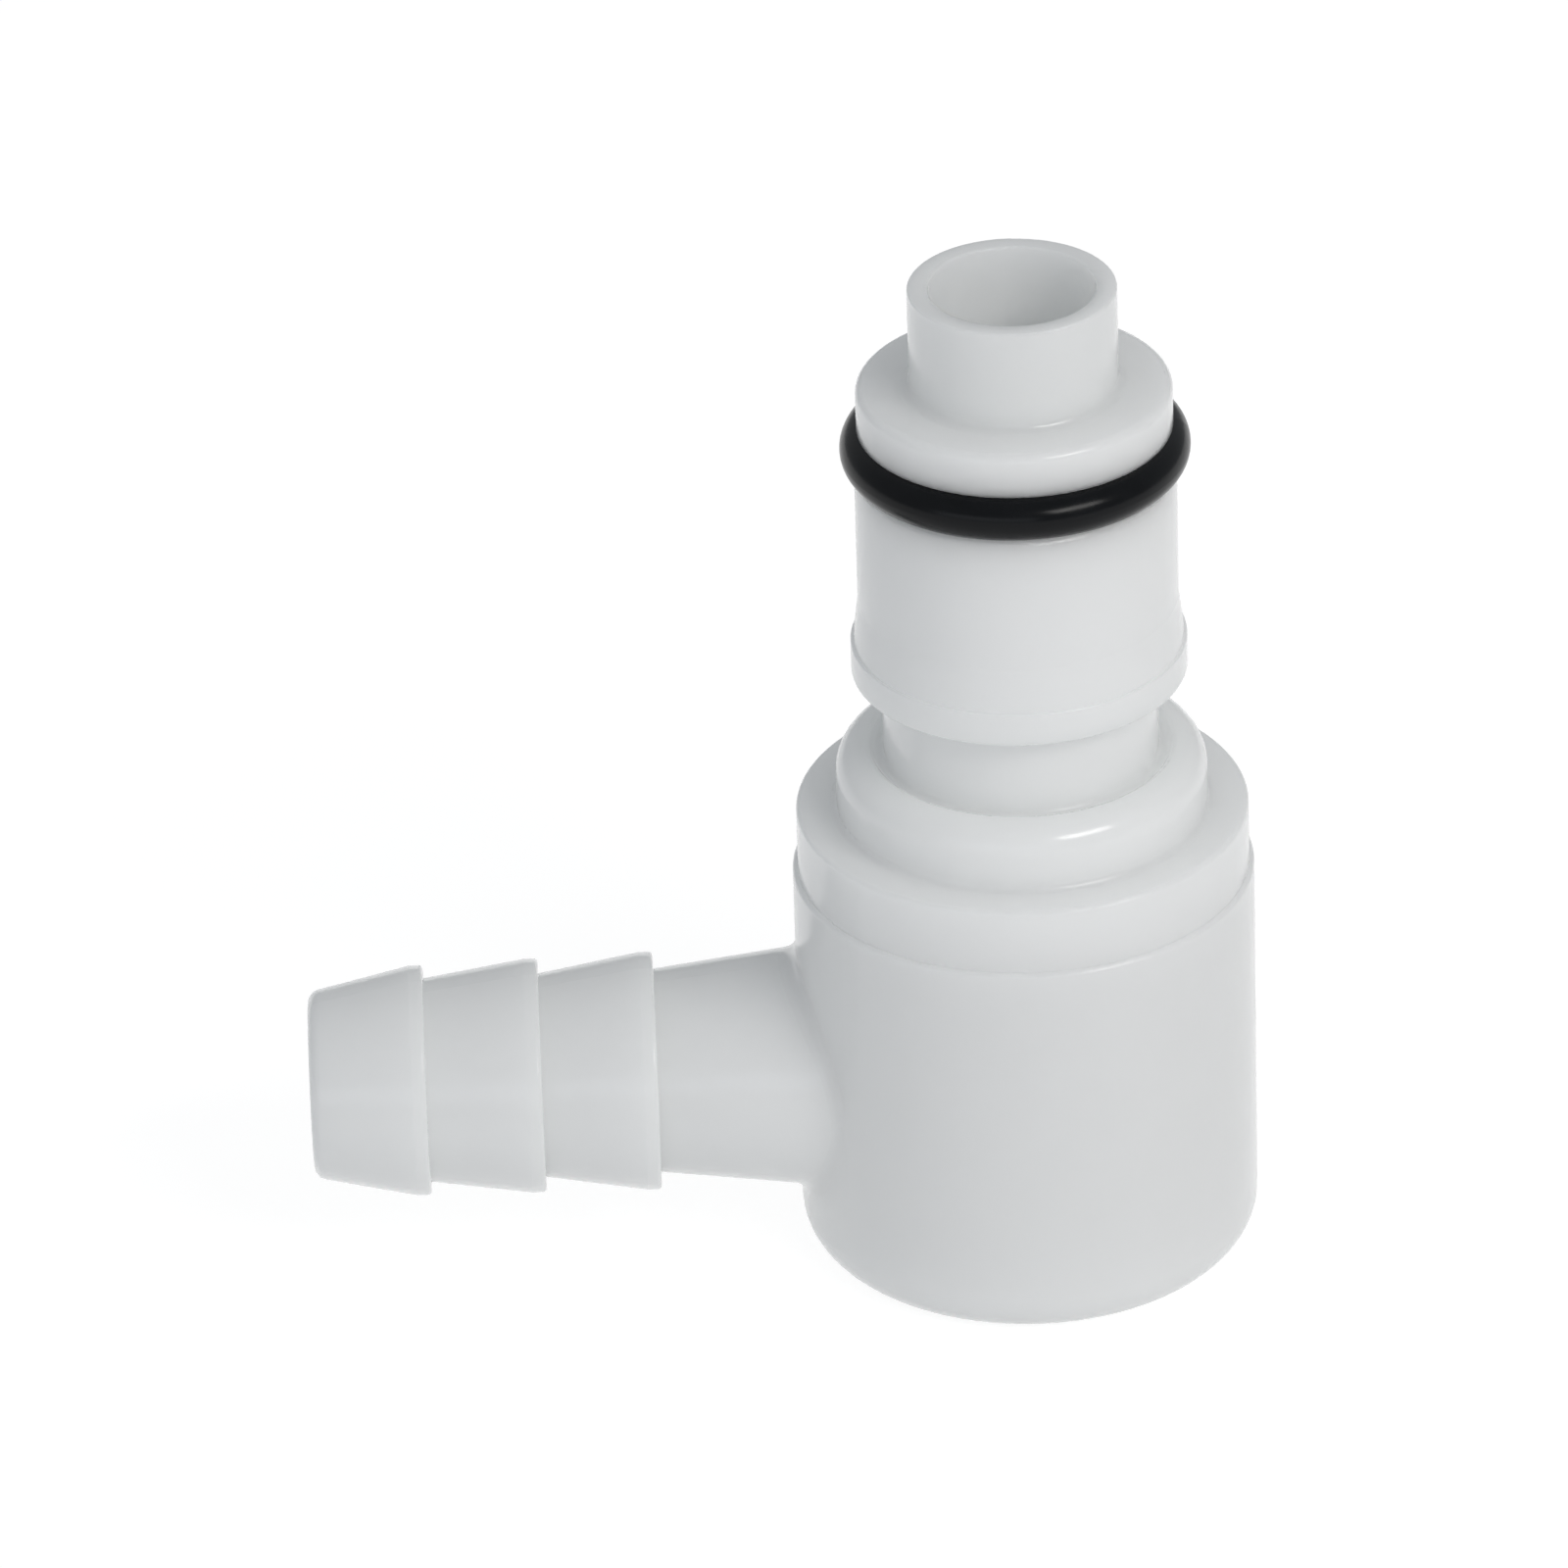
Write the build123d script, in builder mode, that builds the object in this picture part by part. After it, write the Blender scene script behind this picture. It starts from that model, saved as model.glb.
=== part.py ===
from build123d import *
import math
import os

# Valved right-angle insert of a plastic quick connect coupling: an elbow body with a hose barb,
# a nose piece welded onto it that plugs into the other half, and a spring-loaded poppet inside.
# Millimetres. The origin is the middle of the flat foot, +Z runs up the plug's axis and the
# barb points along -X.

# Elbow body, moulded in one piece with its barb
body_height = 20.9
body_wall = 2.15
floor_thickness = 2.6
floor_fillet = 1.0
foot_round = 2.15

# Hose barb
barb_axis_height = 9.6
barb_reach = 35.55
barb_bore_radius = 3.3
barb_tip_radius = 4.6
barb_tip_round = 0.7
barb_bore_chamfer = 0.3
barb_crests = 3
first_crest_from_tip = 5.75
crest_pitch = 5.7
crest_land = 0.7
crest_round = 0.2
first_crest_radius = 5.7
crest_growth = 0.1
barb_root_radius = 5.05
barb_flare_angle = 7.0
barb_body_fillet = 1.0

# Nose piece: heights are counted upwards from the weld line, and the radii outwards and inwards
# from the plug, which is the size that has to fit the other half
plug_radius = 7.8
plug_height = 7.0
plug_edge_round = 0.25
latch_groove_depth = 1.05
latch_neck_width = 4.2
latch_neck_fillet = 0.3
land_rise = 0.4
land_height = 1.75
land_edge_round = 0.2
land_step = 0.15
land_step_round = 0.1
ramp_height = 2.25
shoulder_ledge = 2.35
shoulder_height = 3.35
shoulder_inner_drop = 0.9
shoulder_inner_width = 0.75
shoulder_crown_width = 0.15
shoulder_crown_round = 0.3
shoulder_edge_round = 1.45
shoulder_base_fillet = 0.35
collar_ledge = 2.0
collar_height = 3.35
collar_edge_round = 0.25
weld_step = 0.25  # the body's rim is rounded over this whole step, up to the collar
seal_groove_depth = 1.65
seal_groove_width = 2.35
flange_set_in = 0.15
flange_thickness = 2.2
flange_edge_round = 0.4
flange_ledge = 2.6
nose_wall = 1.0
nose_length = 5.2
nose_bore_step = 0.45
nose_bore_depth = 7.5
nose_base_fillet = 0.45
nose_rim_round = 0.12
spigot_length = 2.5
spigot_wall = 1.55
spigot_clearance = 0.05

# Valve seat inside the nose piece
seat_above_collar = 1.25
seat_half_angle = 45.0

# Seals, as round rings
nose_seal_section = 1.15
valve_seal_section = 0.9
seal_seat_gap = 0.03

# Poppet
poppet_lip_clearance = 0.15
poppet_lip_height = 0.6
poppet_groove_depth = 0.45
seat_gap = 0.06
head_seat_clearance = 0.2
poppet_head_height = 1.6
poppet_head_round = 0.3
fin_count = 4
fin_length = 14.0
fin_thickness = 1.0
fin_guide_clearance = 0.1
stem_radius = 1.5
stem_recess = 0.6
stem_tip_round = 0.5
spring_boss_height = 2.2
spring_boss_round = 0.4
spring_boss_clearance = 0.15

# Valve spring, closed and ground flat at both ends
spring_outside_bore = 0.3
spring_wire_radius = 0.45
spring_active_turns = 3.0
spring_end_turns = 0.5
spring_end_pitch = 0.95
spring_ground_depth = 0.18
floor_boss_height = 1.3

# Radii that follow from the ones above
latch_neck_radius = plug_radius - latch_groove_depth
land_radius = plug_radius + land_rise
shoulder_radius = latch_neck_radius + shoulder_ledge
collar_radius = shoulder_radius + collar_ledge
body_radius = collar_radius + weld_step
cavity_radius = body_radius - body_wall
spigot_radius = cavity_radius - spigot_clearance
chamber_radius = spigot_radius - spigot_wall
seal_groove_radius = plug_radius - seal_groove_depth
flange_radius = plug_radius - flange_set_in
nose_radius = flange_radius - flange_ledge
nose_bore_radius = nose_radius - nose_wall
flow_bore_radius = nose_bore_radius - nose_bore_step
poppet_lip_radius = flow_bore_radius - poppet_lip_clearance
poppet_seal_groove_radius = poppet_lip_radius - poppet_groove_depth
fin_radius = flow_bore_radius - fin_guide_clearance
spring_mean_radius = flow_bore_radius + spring_outside_bore
spring_boss_radius = spring_mean_radius - spring_wire_radius - spring_boss_clearance

# Heights that follow, from the foot upwards
weld_z = body_height
collar_top_z = weld_z + collar_height
shoulder_top_z = collar_top_z + shoulder_height
land_low_z = shoulder_top_z + latch_neck_width
land_top_z = land_low_z + land_height
ramp_top_z = land_top_z + ramp_height
seal_groove_low_z = ramp_top_z + plug_height
flange_low_z = seal_groove_low_z + seal_groove_width
flange_top_z = flange_low_z + flange_thickness
rim_z = flange_top_z + nose_length

seat_tangent = math.tan(math.radians(seat_half_angle))
seat_top_z = collar_top_z + seat_above_collar
seat_low_z = seat_top_z - (chamber_radius - flow_bore_radius) / seat_tangent

nose_seal_radius = seal_groove_radius + seal_seat_gap + nose_seal_section
nose_seal_z = (seal_groove_low_z + flange_low_z) / 2
valve_seal_radius = poppet_seal_groove_radius + seal_seat_gap + valve_seal_section
valve_seal_reach = (valve_seal_section + seat_gap) / math.sin(math.radians(seat_half_angle))
valve_seal_z = seat_top_z - (valve_seal_radius - flow_bore_radius) / seat_tangent - valve_seal_reach

head_top_z = valve_seal_z - valve_seal_section - seal_seat_gap
head_low_z = head_top_z - poppet_head_height
head_radius = flow_bore_radius + (seat_top_z - head_top_z) * seat_tangent - head_seat_clearance
lip_low_z = valve_seal_z + valve_seal_section + seal_seat_gap
lip_top_z = lip_low_z + poppet_lip_height
nose_bore_low_z = rim_z - nose_bore_depth
stem_tip_z = nose_bore_low_z - stem_recess
barb_tip_centre = (-barb_reach, 0, barb_axis_height)
last_crest_from_tip = first_crest_from_tip + (barb_crests - 1) * crest_pitch
flare_length = barb_reach - last_crest_from_tip
flare_end_radius = barb_root_radius + flare_length * math.tan(math.radians(barb_flare_angle))


def corner(section, radius, height):
    """The corner of a section drawing at a radius and a height."""
    return section.vertices().sort_by_distance((radius, height))[0]


os.makedirs("parts", exist_ok=True)

# Elbow body: a turned cup with a rounded foot, and the barb let into its side
with BuildPart() as elbow_body:
    with BuildSketch(Plane.XZ) as cup_section:
        with BuildLine():
            Polyline((0, 0), (body_radius, 0), (body_radius, body_height), (0, body_height), close=True)
        make_face()
        fillet(corner(cup_section, body_radius, 0), foot_round)
        fillet(corner(cup_section, body_radius, body_height), weld_step)
    revolve(axis=Axis.Z)

    # The barb is drawn along its own axis, from the tip towards the body: each tooth is a cone
    # that rises from the root to a narrow land and drops back in one step.
    tooth_outline = [(0, 0), (0, barb_tip_radius)]
    for tooth in range(barb_crests):
        crest_x = first_crest_from_tip + tooth * crest_pitch
        crest_radius = first_crest_radius + tooth * crest_growth
        tooth_outline.append((crest_x - crest_land, crest_radius))
        tooth_outline.append((crest_x, crest_radius))
        tooth_outline.append((crest_x, barb_root_radius))
    tooth_outline.append((barb_reach, flare_end_radius))
    tooth_outline.append((barb_reach, 0))
    with BuildSketch(Plane(barb_tip_centre, x_dir=(1, 0, 0), z_dir=(0, -1, 0))) as barb_section:
        with BuildLine():
            Polyline(*tooth_outline, close=True)
        make_face()
        fillet(corner(barb_section, 0, barb_tip_radius), barb_tip_round)
        for tooth in range(barb_crests):
            crest_x = first_crest_from_tip + tooth * crest_pitch
            fillet(corner(barb_section, crest_x, first_crest_radius + tooth * crest_growth), crest_round)
    revolve(axis=Axis(barb_tip_centre, (1, 0, 0)))
    fillet(elbow_body.edges(Select.NEW), barb_body_fillet)

    # The cavity holds the spring and the poppet's head; a low boss on its floor centres the spring.
    with BuildSketch(Plane.XZ) as cavity_section:
        with BuildLine():
            Polyline(
                (0, floor_thickness + floor_boss_height),
                (spring_boss_radius, floor_thickness + floor_boss_height),
                (spring_boss_radius, floor_thickness),
                (cavity_radius, floor_thickness),
                (cavity_radius, body_height),
                (0, body_height),
                close=True,
            )
        make_face()
        fillet(corner(cavity_section, cavity_radius, floor_thickness), floor_fillet)
    revolve(axis=Axis.Z, mode=Mode.SUBTRACT)

    # The barb's bore runs from the tip into the cavity.
    with BuildSketch(Plane(barb_tip_centre, x_dir=(0, 1, 0), z_dir=(1, 0, 0))):
        Circle(barb_bore_radius)
    extrude(amount=barb_reach, mode=Mode.SUBTRACT)
    tip_edges = elbow_body.edges().group_by(Axis.X)[0]
    chamfer(tip_edges.sort_by(SortBy.RADIUS)[0], barb_bore_chamfer)
elbow_body.part.label = "elbow_body"
export_step(elbow_body.part, "parts/elbow_body.step")

# Nose piece: spigot, weld collar, shoulder, latch neck, plug, seal groove, flange and nose tube
with BuildPart() as nose_piece:
    spigot_low_z = weld_z - spigot_length
    shoulder_crown_radius = latch_neck_radius + shoulder_inner_width
    shoulder_round_room = shoulder_radius - shoulder_crown_radius - shoulder_crown_width
    shoulder_round = min(shoulder_edge_round, shoulder_round_room)
    with BuildSketch(Plane.XZ) as nose_section:
        with BuildLine():
            Polyline(
                (0, spigot_low_z),
                (spigot_radius, spigot_low_z),
                (spigot_radius, weld_z),
                (collar_radius, weld_z),
                (collar_radius, collar_top_z),
                (shoulder_radius, collar_top_z),
                (shoulder_radius, shoulder_top_z),
                (shoulder_crown_radius, shoulder_top_z),
                (latch_neck_radius, shoulder_top_z - shoulder_inner_drop),
                (latch_neck_radius, land_low_z),
                (land_radius, land_low_z),
                (land_radius, land_top_z),
                (land_radius - land_step, land_top_z),
                (plug_radius, ramp_top_z),
                (plug_radius, seal_groove_low_z),
                (seal_groove_radius, seal_groove_low_z),
                (seal_groove_radius, flange_low_z),
                (flange_radius, flange_low_z),
                (flange_radius, flange_top_z),
                (nose_radius, flange_top_z),
                (nose_radius, rim_z),
                (0, rim_z),
                close=True,
            )
        make_face()
        fillet(corner(nose_section, collar_radius, collar_top_z), collar_edge_round)
        fillet(corner(nose_section, shoulder_radius, collar_top_z), shoulder_base_fillet)
        fillet(corner(nose_section, shoulder_radius, shoulder_top_z), shoulder_round)
        fillet(corner(nose_section, latch_neck_radius, shoulder_top_z - shoulder_inner_drop), latch_neck_fillet)
        fillet(corner(nose_section, shoulder_crown_radius, shoulder_top_z), shoulder_crown_round)
        fillet(corner(nose_section, land_radius, land_low_z), land_edge_round)
        fillet(corner(nose_section, land_radius, land_top_z), land_step_round)
        fillet(corner(nose_section, plug_radius, seal_groove_low_z), plug_edge_round)
        fillet(corner(nose_section, flange_radius, flange_top_z), flange_edge_round)
        fillet(corner(nose_section, nose_radius, flange_top_z), nose_base_fillet)
    revolve(axis=Axis.Z)

    # The flow bore guides the poppet's fins. Below them it widens in a cone, the valve's seat, into
    # the chamber behind the collar.
    with BuildSketch(Plane.XZ):
        with BuildLine():
            Polyline(
                (0, spigot_low_z),
                (chamber_radius, spigot_low_z),
                (chamber_radius, seat_low_z),
                (flow_bore_radius, seat_top_z),
                (flow_bore_radius, nose_bore_low_z),
                (nose_bore_radius, nose_bore_low_z),
                (nose_bore_radius, rim_z),
                (0, rim_z),
                close=True,
            )
        make_face()
    revolve(axis=Axis.Z, mode=Mode.SUBTRACT)
    fillet(nose_piece.edges().group_by(Axis.Z)[-1], nose_rim_round)
nose_piece.part.label = "nose_piece"
export_step(nose_piece.part, "parts/nose_piece.step")

# Nose seal: the black ring in the groove under the flange
with BuildPart() as nose_seal:
    with BuildSketch(Plane.XZ):
        with Locations((nose_seal_radius, nose_seal_z)):
            Circle(nose_seal_section)
    revolve(axis=Axis.Z)
nose_seal.part.label = "nose_seal"
export_step(nose_seal.part, "parts/nose_seal.step")

# Poppet: a head with a groove for its seal, a boss for the spring, and a finned stem that the
# nose bore guides and the other half of the coupling pushes down
with BuildPart() as poppet:
    with BuildSketch(Plane.XZ) as poppet_section:
        with BuildLine():
            Polyline(
                (0, head_low_z - spring_boss_height),
                (spring_boss_radius, head_low_z - spring_boss_height),
                (spring_boss_radius, head_low_z),
                (head_radius, head_low_z),
                (head_radius, head_top_z),
                (poppet_seal_groove_radius, head_top_z),
                (poppet_seal_groove_radius, lip_low_z),
                (poppet_lip_radius, lip_low_z),
                (poppet_lip_radius, lip_top_z),
                (stem_radius, lip_top_z),
                (stem_radius, stem_tip_z),
                (0, stem_tip_z),
                close=True,
            )
        make_face()
        fillet(corner(poppet_section, spring_boss_radius, head_low_z - spring_boss_height), spring_boss_round)
        fillet(corner(poppet_section, head_radius, head_top_z), poppet_head_round)
        fillet(corner(poppet_section, stem_radius, stem_tip_z), stem_tip_round)
    revolve(axis=Axis.Z)

    # The fins stand on the lip and run up the stem.
    with BuildSketch(Plane.XY.offset(lip_top_z)):
        with PolarLocations(0, fin_count):
            Rectangle(fin_radius, fin_thickness, align=(Align.MIN, Align.CENTER))
        Circle(fin_radius, mode=Mode.INTERSECT)
    extrude(amount=fin_length)
poppet.part.label = "poppet"
export_step(poppet.part, "parts/poppet.step")

# Valve seal: the small ring that the head presses against the seat
with BuildPart() as valve_seal:
    with BuildSketch(Plane.XZ):
        with Locations((valve_seal_radius, valve_seal_z)):
            Circle(valve_seal_section)
    revolve(axis=Axis.Z)
valve_seal.part.label = "valve_seal"
export_step(valve_seal.part, "parts/valve_seal.step")

# Valve spring: a helix with closed ends, ground flat where it stands on the floor and under the
# head
with BuildPart() as valve_spring:
    free_height = head_low_z - floor_thickness
    wire_height = free_height - 2 * spring_ground_depth
    end_height = spring_end_turns * spring_end_pitch
    active_pitch = (wire_height - 2 * end_height) / spring_active_turns
    runs = (
        (spring_end_turns, spring_end_pitch),
        (spring_active_turns, active_pitch),
        (spring_end_turns, spring_end_pitch),
    )
    turns_so_far = 0
    run_z = floor_thickness + spring_ground_depth
    with BuildLine() as wire_line:
        for turns, pitch in runs:
            run = Helix(pitch, turns * pitch, spring_mean_radius, center=(0, 0, run_z), mode=Mode.PRIVATE)
            add(run.rotate(Axis.Z, 360 * turns_so_far))
            turns_so_far += turns
            run_z += turns * pitch
    wire_path = wire_line.wires()[0]
    with BuildSketch(Plane(wire_path @ 0, z_dir=wire_path % 0)):
        Circle(spring_wire_radius)
    sweep(path=wire_path, is_frenet=True)
    with BuildSketch(Plane.XY.offset(floor_thickness)):
        Circle(cavity_radius)
    extrude(amount=free_height, mode=Mode.INTERSECT)
valve_spring.part.label = "valve_spring"
export_step(valve_spring.part, "parts/valve_spring.step")
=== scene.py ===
"""The quick connect coupling insert, dressed in its real finishes and stood on a pale floor."""
import logging
import math
from dataclasses import dataclass
from enum import Enum

import bmesh
import bpy
from mathutils import Matrix, Vector


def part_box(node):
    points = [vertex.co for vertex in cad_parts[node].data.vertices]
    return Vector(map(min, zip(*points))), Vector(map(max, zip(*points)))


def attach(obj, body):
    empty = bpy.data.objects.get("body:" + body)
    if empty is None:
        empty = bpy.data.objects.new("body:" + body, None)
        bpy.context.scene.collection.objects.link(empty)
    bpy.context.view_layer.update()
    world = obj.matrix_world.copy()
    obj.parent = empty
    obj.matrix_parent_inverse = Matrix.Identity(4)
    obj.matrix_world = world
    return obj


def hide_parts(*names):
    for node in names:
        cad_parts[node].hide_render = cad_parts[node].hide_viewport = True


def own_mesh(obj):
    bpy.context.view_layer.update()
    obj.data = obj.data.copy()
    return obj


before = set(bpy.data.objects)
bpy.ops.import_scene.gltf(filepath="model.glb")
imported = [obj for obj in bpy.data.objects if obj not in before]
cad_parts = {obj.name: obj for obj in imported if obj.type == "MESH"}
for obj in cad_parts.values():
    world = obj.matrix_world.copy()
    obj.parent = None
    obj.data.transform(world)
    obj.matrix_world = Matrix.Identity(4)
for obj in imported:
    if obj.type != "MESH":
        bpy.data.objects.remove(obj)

LOG = logging.getLogger("coupling_insert")
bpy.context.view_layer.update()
MM = 0.001
UP = (0.0, 0.0, 1.0)
WHITE = (1.0, 1.0, 1.0, 1.0)

# sRGB: how a byte of a hex colour turns into light
HEX_DIGITS = 2
FULL_BYTE = 255
SRGB_KNEE = 0.04045
SRGB_SLOPE = 12.92
SRGB_OFFSET = 0.055
SRGB_POWER = 2.4

# A noise texture's factor keeps mostly between these two
NOISE_LOW = 0.3
NOISE_HIGH = 0.7

# Names in the frame
BODY_NODE = "elbow_body"
NOSE_NODE = "nose_piece"
SPRING_NODE = "valve_spring"

# The mesh layer that carries each corner's exact normal while shells are joined
NORMAL_LAYER = "exact_normal"


def linear_colour(hex_code: str) -> tuple[float, float, float, float]:
    """Turns an sRGB hex colour into the linear values that shaders take.

    Args:
        hex_code: The colour as "#RRGGBB".

    Returns:
        Red, green, blue and a full alpha.
    """
    digits = hex_code.lstrip("#")
    channels = []
    for start in range(0, len(digits), HEX_DIGITS):
        value = int(digits[start:start + HEX_DIGITS], 16) / FULL_BYTE
        if value <= SRGB_KNEE:
            channels.append(value / SRGB_SLOPE)
        else:
            channels.append(((value + SRGB_OFFSET) / (1.0 + SRGB_OFFSET)) ** SRGB_POWER)
    return (channels[0], channels[1], channels[2], 1.0)


def pattern_scale(size_mm: float) -> float:
    """The texture scale at which one cell of a pattern measures size_mm on Object coordinates."""
    return 1.0 / (size_mm * MM)


def add_node(
    tree: bpy.types.NodeTree, kind: str, inputs: dict | None = None, **settings: object
) -> bpy.types.Node:
    """Adds one node with its settings and links.

    Args:
        tree: The node tree that gets the node.
        kind: The node's type.
        inputs: For each input, another node's output to link or a value to set.
        **settings: The node's own properties.

    Returns:
        The new node.
    """
    node = tree.nodes.new(kind)
    for name, value in settings.items():
        setattr(node, name, value)
    for name, value in (inputs or {}).items():
        if isinstance(value, bpy.types.NodeSocket):
            tree.links.new(value, node.inputs[name])
        else:
            node.inputs[name].default_value = value
    return node


def new_material(name: str) -> tuple[bpy.types.Material, bpy.types.NodeTree, bpy.types.Node]:
    """Starts a material with an empty tree but for its output.

    Args:
        name: The material's name.

    Returns:
        The material, its node tree and its output node.
    """
    material = bpy.data.materials.new(name)
    material.use_nodes = True
    tree = material.node_tree
    tree.nodes.clear()
    output = add_node(tree, "ShaderNodeOutputMaterial")
    return material, tree, output


def set_stops(ramp: bpy.types.Node, stops: tuple[tuple[float, str], tuple[float, str]]) -> None:
    """Sets the two colours of a colour ramp.

    Args:
        ramp: The colour ramp node.
        stops: For each end, its position and its sRGB hex colour.
    """
    for element, (position, hex_code) in zip(ramp.color_ramp.elements, stops):
        element.position = position
        element.color = linear_colour(hex_code)


class Slot(Enum):
    """The record's material slots."""

    ACETAL = "moulded_acetal"
    RUBBER = "nitrile_rubber"
    WIRE = "stainless_wire"


class Body(Enum):
    """The record's moving bodies."""

    HOUSING = "housing"
    VALVE = "valve"


@dataclass(frozen=True)
class MouldedAcetal:
    """Natural white acetal, injection moulded: light sinks a little way into it, its tint clouds
    softly from flow, and the tool's fine spark texture breaks its gloss."""

    body_hex: str = "#FCFEFD"
    # Clouds of flow: a tint so faint that the eye takes it for depth
    cloud_hex: str = "#FAFCFB"
    cloud_mm: float = 9.0
    cloud_detail: float = 3.0
    cloud_break: float = 0.55
    cloud_from: float = 0.35
    cloud_to: float = 0.75
    # Smears of gloss, which make the long highlights uneven
    smear_mm: float = 3.5
    smear_detail: float = 4.0
    smear_break: float = 0.6
    roughness_low: float = 0.14
    roughness_high: float = 0.21
    # Spark texture, drawn coarser than the real one so that it shows
    grain_mm: float = 0.35
    grain_detail: float = 2.0
    grain_break: float = 0.5
    grain_depth_mm: float = 0.006
    grain_strength: float = 0.5
    ior: float = 1.48
    # Scattering, the same in red, green and blue, which softens the shadows in the grooves
    scatter_weight: float = 1.0
    scatter_shares: tuple[float, float, float] = (1.0, 1.0, 1.0)
    scatter_depth_mm: float = 3.2

    def material(self) -> bpy.types.Material:
        """Builds the material.

        Returns:
            The finished material.
        """
        material, tree, output = new_material("moulded_acetal_natural")
        place = add_node(tree, "ShaderNodeTexCoord").outputs["Object"]
        cloud = add_node(tree, "ShaderNodeTexNoise", {
            "Vector": place, "Scale": pattern_scale(self.cloud_mm),
            "Detail": self.cloud_detail, "Roughness": self.cloud_break,
        })
        ramp = add_node(tree, "ShaderNodeValToRGB", {"Fac": cloud.outputs["Fac"]})
        set_stops(ramp, ((self.cloud_from, self.body_hex), (self.cloud_to, self.cloud_hex)))
        smear = add_node(tree, "ShaderNodeTexNoise", {
            "Vector": place, "Scale": pattern_scale(self.smear_mm),
            "Detail": self.smear_detail, "Roughness": self.smear_break,
        })
        gloss = add_node(tree, "ShaderNodeMapRange", {
            "Value": smear.outputs["Fac"], "From Min": NOISE_LOW, "From Max": NOISE_HIGH,
            "To Min": self.roughness_low, "To Max": self.roughness_high,
        })
        grain = add_node(tree, "ShaderNodeTexNoise", {
            "Vector": place, "Scale": pattern_scale(self.grain_mm),
            "Detail": self.grain_detail, "Roughness": self.grain_break,
        })
        bump = add_node(tree, "ShaderNodeBump", {
            "Height": grain.outputs["Fac"], "Distance": self.grain_depth_mm * MM,
            "Strength": self.grain_strength,
        })
        shader = add_node(tree, "ShaderNodeBsdfPrincipled", {
            "Base Color": ramp.outputs["Color"],
            "Roughness": gloss.outputs["Result"],
            "IOR": self.ior,
            "Subsurface Weight": self.scatter_weight,
            "Subsurface Radius": self.scatter_shares,
            "Subsurface Scale": self.scatter_depth_mm * MM,
            "Normal": bump.outputs["Normal"],
        })
        tree.links.new(shader.outputs["BSDF"], output.inputs["Surface"])
        return material


@dataclass(frozen=True)
class NitrileRubber:
    """Black nitrile rubber, moulded in a polished tool: a near-black ring with a soft sheen, on
    which a faint grey bloom lies in patches."""

    rubber_hex: str = "#090B0E"
    # Bloom: where it lies, the ring is greyer and duller
    bloom_hex: str = "#101215"
    bloom_mm: float = 1.8
    bloom_detail: float = 5.0
    bloom_break: float = 0.6
    bloom_from: float = 0.4
    bloom_to: float = 0.8
    roughness_low: float = 0.17
    roughness_high: float = 0.26
    # The moulded skin's fine grain, which frays the highlight's ends
    grain_mm: float = 0.18
    grain_detail: float = 2.0
    grain_depth_mm: float = 0.005
    grain_strength: float = 0.5
    ior: float = 1.4
    specular: float = 0.25

    def material(self) -> bpy.types.Material:
        """Builds the material.

        Returns:
            The finished material.
        """
        material, tree, output = new_material("moulded_nitrile_rubber")
        place = add_node(tree, "ShaderNodeTexCoord").outputs["Object"]
        bloom = add_node(tree, "ShaderNodeTexNoise", {
            "Vector": place, "Scale": pattern_scale(self.bloom_mm),
            "Detail": self.bloom_detail, "Roughness": self.bloom_break,
        })
        ramp = add_node(tree, "ShaderNodeValToRGB", {"Fac": bloom.outputs["Fac"]})
        set_stops(ramp, ((self.bloom_from, self.rubber_hex), (self.bloom_to, self.bloom_hex)))
        gloss = add_node(tree, "ShaderNodeMapRange", {
            "Value": bloom.outputs["Fac"], "From Min": NOISE_LOW, "From Max": NOISE_HIGH,
            "To Min": self.roughness_low, "To Max": self.roughness_high,
        })
        grain = add_node(tree, "ShaderNodeTexNoise", {
            "Vector": place, "Scale": pattern_scale(self.grain_mm), "Detail": self.grain_detail,
        })
        bump = add_node(tree, "ShaderNodeBump", {
            "Height": grain.outputs["Fac"], "Distance": self.grain_depth_mm * MM,
            "Strength": self.grain_strength,
        })
        shader = add_node(tree, "ShaderNodeBsdfPrincipled", {
            "Base Color": ramp.outputs["Color"],
            "Roughness": gloss.outputs["Result"],
            "IOR": self.ior,
            "Specular IOR Level": self.specular,
            "Normal": bump.outputs["Normal"],
        })
        tree.links.new(shader.outputs["BSDF"], output.inputs["Surface"])
        return material


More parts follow.
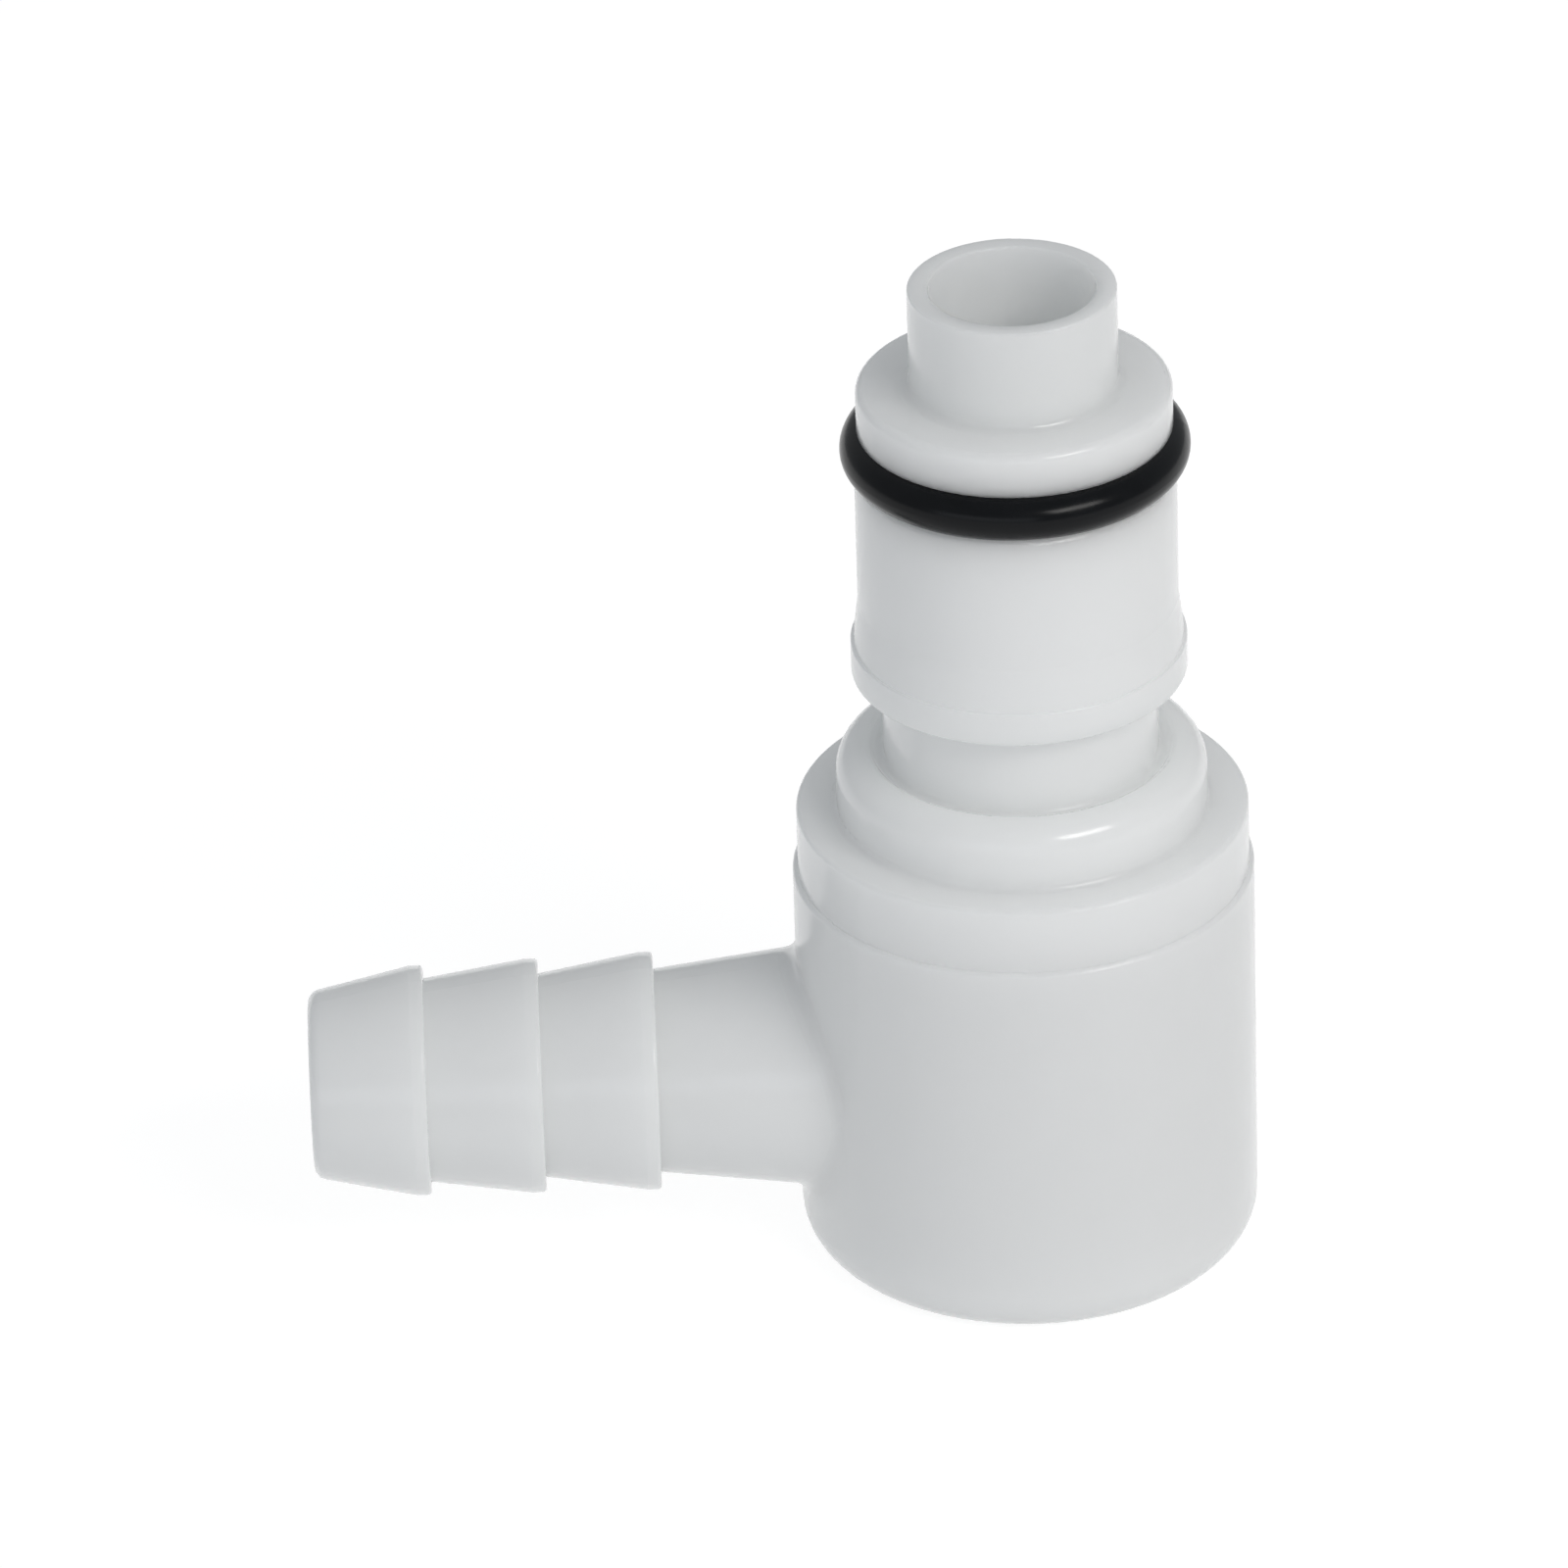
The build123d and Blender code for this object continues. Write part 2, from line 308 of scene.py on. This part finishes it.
@dataclass(frozen=True)
class DrawnStainlessWire:
    """Stainless spring wire, cold drawn through a die: bright grey metal with fine lines that run
    along the wire, and so round the coil."""

    metal_hex: str = "#B4B1AB"
    # Drawing lines, whose shine changes across the wire and not along it
    line_mm: float = 0.06
    line_stretch: float = 14.0
    line_detail: float = 3.0
    line_depth_mm: float = 0.003
    line_strength: float = 0.6
    roughness_low: float = 0.2
    roughness_high: float = 0.38

    def material(self) -> bpy.types.Material:
        """Builds the material.

        Returns:
            The finished material.
        """
        material, tree, output = new_material("drawn_stainless_wire")
        place = add_node(tree, "ShaderNodeTexCoord").outputs["Object"]
        squeezed = add_node(tree, "ShaderNodeMapping", {
            "Vector": place, "Scale": (1.0, 1.0, self.line_stretch),
        })
        lines = add_node(tree, "ShaderNodeTexNoise", {
            "Vector": squeezed.outputs["Vector"],
            "Scale": pattern_scale(self.line_mm * self.line_stretch),
            "Detail": self.line_detail,
        })
        gloss = add_node(tree, "ShaderNodeMapRange", {
            "Value": lines.outputs["Fac"], "From Min": NOISE_LOW, "From Max": NOISE_HIGH,
            "To Min": self.roughness_low, "To Max": self.roughness_high,
        })
        bump = add_node(tree, "ShaderNodeBump", {
            "Height": lines.outputs["Fac"], "Distance": self.line_depth_mm * MM,
            "Strength": self.line_strength,
        })
        shader = add_node(tree, "ShaderNodeBsdfPrincipled", {
            "Base Color": linear_colour(self.metal_hex),
            "Metallic": 1.0,
            "Roughness": gloss.outputs["Result"],
            "Normal": bump.outputs["Normal"],
        })
        tree.links.new(shader.outputs["BSDF"], output.inputs["Surface"])
        return material


@dataclass(frozen=True)
class DressedPart:
    """One part in its real finish: the CAD nodes' exact shape as a closed shell, with the exact
    normals of their surfaces.

    Attributes:
        piece_name: The part's name.
        nodes: The CAD nodes that it stands for.
        body: The body it moves with.
        slot: The record's material slot that it takes.
        weld_node: The node whose top is welded to another one's face, if the part has a weld.
        join_mm: Corners nearer to each other than this are one.
    """

    piece_name: str
    nodes: tuple[str, ...]
    body: Body
    slot: Slot
    weld_node: str | None = None
    join_mm: float = 0.0005

    def joined_copy(self, node: str) -> bpy.types.Mesh:
        """Copies one node with its seams joined.

        Args:
            node: The CAD node's name.

        Returns:
            The copy, with each corner's normal kept in a layer of its own.
        """
        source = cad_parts[node].data
        shell = bmesh.new()
        shell.from_mesh(source)
        normals = shell.loops.layers.float_vector.new(NORMAL_LAYER)
        for face, polygon in zip(shell.faces, source.polygons):
            for loop, corner in zip(face.loops, polygon.loop_indices):
                loop[normals] = source.corner_normals[corner].vector
        bmesh.ops.remove_doubles(shell, verts=shell.verts, dist=self.join_mm * MM)
        copy = bpy.data.meshes.new(node)
        shell.to_mesh(copy)
        shell.free()
        return copy

    def weld(
        self, shell: bmesh.types.BMesh, normals: bmesh.types.BMLayerItem, height: float
    ) -> None:
        """Takes out the two faces that meet in the weld, where the plastic is fused, and joins the
        two rings that are left outside it and the two inside.

        Args:
            shell: The mesh to weld.
            normals: The layer that holds the corners' normals.
            height: The weld's height in metres.
        """
        level = {vert for vert in shell.verts if abs(vert.co.z - height) < self.join_mm * MM}
        fused = [face for face in shell.faces if all(vert in level for vert in face.verts)]
        bmesh.ops.delete(shell, geom=fused, context="FACES")
        rings = [edge for edge in shell.edges if edge.is_boundary]
        radii = [edge.verts[0].co.xy.length for edge in rings]
        middle = (min(radii) + max(radii)) / 2
        for is_outer in (True, False):
            pair = [edge for edge, radius in zip(rings, radii) if (radius > middle) == is_outer]
            bridged = bmesh.ops.bridge_loops(shell, edges=pair)
            for face in bridged["faces"]:
                face.normal_update()
                for loop in face.loops:
                    loop[normals] = face.normal

    def build(self, material: bpy.types.Material) -> bpy.types.Object:
        """Joins, welds and dresses the part.

        Args:
            material: The finish it wears.

        Returns:
            The finished piece.
        """
        shell = bmesh.new()
        for node in self.nodes:
            copy = self.joined_copy(node)
            shell.from_mesh(copy)
            bpy.data.meshes.remove(copy)
        if self.weld_node:
            normals = shell.loops.layers.float_vector[NORMAL_LAYER]
            self.weld(shell, normals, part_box(self.weld_node)[1].z)
        for face in shell.faces:
            face.smooth = True
            face.material_index = 0
        mesh = bpy.data.meshes.new(self.piece_name)
        shell.to_mesh(mesh)
        open_count = sum(edge.is_boundary for edge in shell.edges)
        shell.free()
        layer = mesh.attributes[NORMAL_LAYER]
        exact = [item.vector.copy() for item in layer.data]
        mesh.attributes.remove(layer)
        mesh.normals_split_custom_set(exact)
        mesh.materials.append(material)
        piece = bpy.data.objects.new(self.piece_name, mesh)
        bpy.context.scene.collection.objects.link(piece)
        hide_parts(*self.nodes)
        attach(piece, self.body.value)
        LOG.info("%s: %d faces, %d open edges", self.piece_name, len(mesh.polygons), open_count)
        return piece


@dataclass
class CouplingInsert:
    """The insert's parts, each in its own finish. The body and the nose piece are one here, as the
    weld makes them."""

    acetal: MouldedAcetal = MouldedAcetal()
    rubber: NitrileRubber = NitrileRubber()
    wire: DrawnStainlessWire = DrawnStainlessWire()

    def let_squash(self, spring: bpy.types.Object) -> None:
        """Gives the spring a mesh of its own, and leaves the coil at its modelled length.

        Args:
            spring: The dressed spring.
        """
        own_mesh(spring)

    def build(self) -> None:
        """Builds and dresses every part."""
        materials = {
            Slot.ACETAL: self.acetal.material(),
            Slot.RUBBER: self.rubber.material(),
            Slot.WIRE: self.wire.material(),
        }
        housing = DressedPart(
            "welded_housing", (BODY_NODE, NOSE_NODE), Body.HOUSING, Slot.ACETAL, weld_node=BODY_NODE
        )
        parts = (
            housing,
            DressedPart("nose_seal_ring", ("nose_seal",), Body.HOUSING, Slot.RUBBER),
            DressedPart("poppet_moulding", ("poppet",), Body.VALVE, Slot.ACETAL),
            DressedPart("valve_seal_ring", ("valve_seal",), Body.VALVE, Slot.RUBBER),
        )
        for part in parts:
            part.build(materials[part.slot])
        coil = DressedPart("valve_spring_coil", (SPRING_NODE,), Body.HOUSING, Slot.WIRE)
        self.let_squash(coil.build(materials[coil.slot]))


@dataclass(frozen=True)
class Softbox:
    """One rectangular soft lamp.

    Attributes:
        name: The lamp's name.
        azimuth: Degrees to the right of the camera's side, seen from above.
        elevation: Degrees above the floor.
        distance: Metres from the object.
        width: The lamp's width in metres.
        height: The lamp's height in metres.
        watts: Its power.
        tint_hex: The colour of its light.
    """

    name: str
    azimuth: float
    elevation: float
    distance: float
    width: float
    height: float
    watts: float
    tint_hex: str


@dataclass
class Stage:
    """A white floor, a white sky and soft lamps at a plain level.

    Attributes:
        floor_hex: The floor's paint.
        floor_half_width: Half the floor's side in metres.
        floor_glow_share: How much of the floor the camera sees as plain white. The rest is lit
            paint, which keeps the object's shadow.
        floor_glow: The white's strength, so that it and the paint add up to white.
        sky_level: The strength of the sky's light on the object.
        sky_hex: The colour of the sky's light.
        lamp_aim_mm: The height on the object's axis at which the lamps point.
        key: The lamp at the right, which draws the short highlights on the rounded edges.
        fill: The low, wide lamp at the left, which lights the upright walls and the hose barb.
    """

    floor_hex: str = "#FAFAFA"
    floor_half_width: float = 1.2
    floor_glow_share: float = 0.75
    floor_glow: float = 1.18
    sky_level: float = 0.43
    sky_hex: str = "#F7FBFE"
    lamp_aim_mm: float = 26.0
    key: Softbox = Softbox(
        name="key_softbox", azimuth=39.0, elevation=38.0, distance=0.5,
        width=0.25, height=0.12, watts=0.74, tint_hex="#FFFDFA",
    )
    fill: Softbox = Softbox(
        name="front_fill", azimuth=-22.0, elevation=12.0, distance=0.9,
        width=1.1, height=0.3, watts=0.8, tint_hex="#F5FAFF",
    )

    def floor_material(self) -> bpy.types.Material:
        """Builds the floor's finish: matt white paint that the camera sees as white, but for the
        object's shadow.

        Returns:
            The finished material.
        """
        material, tree, output = new_material("matt_white_floor")
        ray = add_node(tree, "ShaderNodeLightPath")
        seen = add_node(tree, "ShaderNodeMath", {
            0: ray.outputs["Is Camera Ray"], 1: ray.outputs["Is Glossy Ray"],
        }, operation="MAXIMUM")
        seen_through = add_node(tree, "ShaderNodeMath", {
            0: seen.outputs[0], 1: ray.outputs["Is Transmission Ray"],
        }, operation="MAXIMUM")
        share = add_node(tree, "ShaderNodeMath", {
            0: seen_through.outputs[0], 1: self.floor_glow_share,
        }, operation="MULTIPLY")
        paint = add_node(tree, "ShaderNodeBsdfDiffuse", {"Color": linear_colour(self.floor_hex)})
        glow = add_node(tree, "ShaderNodeEmission", {"Color": WHITE, "Strength": self.floor_glow})
        surface = add_node(tree, "ShaderNodeMixShader", {
            0: share.outputs[0], 1: paint.outputs[0], 2: glow.outputs[0],
        })
        tree.links.new(surface.outputs[0], output.inputs["Surface"])
        return material

    def floor(self) -> None:
        """Lays the floor under the foot."""
        mesh = bpy.data.meshes.new("floor")
        sheet = bmesh.new()
        bmesh.ops.create_grid(sheet, x_segments=1, y_segments=1, size=self.floor_half_width)
        sheet.to_mesh(mesh)
        sheet.free()
        mesh.materials.append(self.floor_material())
        floor = bpy.data.objects.new("floor", mesh)
        bpy.context.scene.collection.objects.link(floor)

    def sky(self) -> None:
        """Makes the world white to the camera and a soft even fill to the object."""
        world = bpy.data.worlds.new("studio")
        world.use_nodes = True
        tree = world.node_tree
        tree.nodes.clear()
        ray = add_node(tree, "ShaderNodeLightPath")
        fill = add_node(tree, "ShaderNodeBackground", {
            "Color": linear_colour(self.sky_hex), "Strength": self.sky_level,
        })
        white = add_node(tree, "ShaderNodeBackground", {"Color": WHITE, "Strength": 1.0})
        seen = add_node(tree, "ShaderNodeMath", {
            0: ray.outputs["Is Camera Ray"], 1: ray.outputs["Is Transmission Ray"],
        }, operation="MAXIMUM")
        both = add_node(tree, "ShaderNodeMixShader", {
            0: seen.outputs[0], 1: fill.outputs[0], 2: white.outputs[0],
        })
        output = add_node(tree, "ShaderNodeOutputWorld")
        tree.links.new(both.outputs[0], output.inputs["Surface"])
        bpy.context.scene.world = world

    def hang(self, softbox: Softbox) -> None:
        """Hangs one lamp, facing the object.

        Args:
            softbox: The lamp's place, size and power.
        """
        light = bpy.data.lights.new(softbox.name, "AREA")
        light.shape = "RECTANGLE"
        light.size = softbox.width
        light.size_y = softbox.height
        light.energy = softbox.watts
        light.color = linear_colour(softbox.tint_hex)[:3]
        lamp = bpy.data.objects.new(softbox.name, light)
        bpy.context.scene.collection.objects.link(lamp)
        turn, rise = math.radians(softbox.azimuth), math.radians(softbox.elevation)
        aim = Vector((0.0, 0.0, self.lamp_aim_mm * MM))
        away = Vector((math.sin(turn) * math.cos(rise), -math.cos(turn) * math.cos(rise), math.sin(rise)))
        lamp.location = aim + away * softbox.distance
        lamp.rotation_euler = away.to_track_quat("Z", "Y").to_euler()

    def build(self) -> None:
        """Sets the floor, the sky and the lamps."""
        self.floor()
        self.sky()
        self.hang(self.key)
        self.hang(self.fill)


@dataclass(frozen=True)
class PhotoCamera:
    """The camera at the photograph's place, fitted to the object's outline in it.

    Attributes:
        aim: The point in the middle of the frame, in metres.
        distance: Metres from the aim.
        elevation: Degrees that it looks down.
        azimuth: Degrees that its line of sight turns from +Y towards +X.
        roll: Degrees that it is turned about its line of sight.
        lens_mm: Its focal length.
        sensor_mm: Its sensor's width.
    """

    aim: tuple[float, float, float] = (-0.011649, 0.0, 0.025636)
    distance: float = 0.5870
    elevation: float = 29.821
    azimuth: float = 1.200
    roll: float = -1.822
    lens_mm: float = 275.36
    sensor_mm: float = 36.0

    def build(self) -> None:
        """Places the camera and makes it the scene's own."""
        turn, drop, roll = (math.radians(angle) for angle in (self.azimuth, self.elevation, self.roll))
        look = Vector((math.sin(turn) * math.cos(drop), math.cos(turn) * math.cos(drop), -math.sin(drop)))
        right = look.cross(Vector(UP)).normalized()
        up = right.cross(look)
        rolled_right = right * math.cos(roll) + up * math.sin(roll)
        rolled_up = up * math.cos(roll) - right * math.sin(roll)
        turned = Matrix((rolled_right, rolled_up, -look)).transposed().to_4x4()
        data = bpy.data.cameras.new("photo_camera")
        data.lens = self.lens_mm
        data.sensor_width = self.sensor_mm
        camera = bpy.data.objects.new("photo_camera", data)
        bpy.context.scene.collection.objects.link(camera)
        camera.matrix_world = Matrix.Translation(Vector(self.aim) - look * self.distance) @ turned
        bpy.context.scene.camera = camera


def main() -> None:
    """Builds the insert, the stage and the camera."""
    logging.basicConfig(level=logging.INFO)
    bpy.context.scene.view_settings.view_transform = "Standard"
    CouplingInsert().build()
    Stage().build()
    PhotoCamera().build()
    LOG.info("insert dressed and staged")


if __name__ == "__main__":
    main()
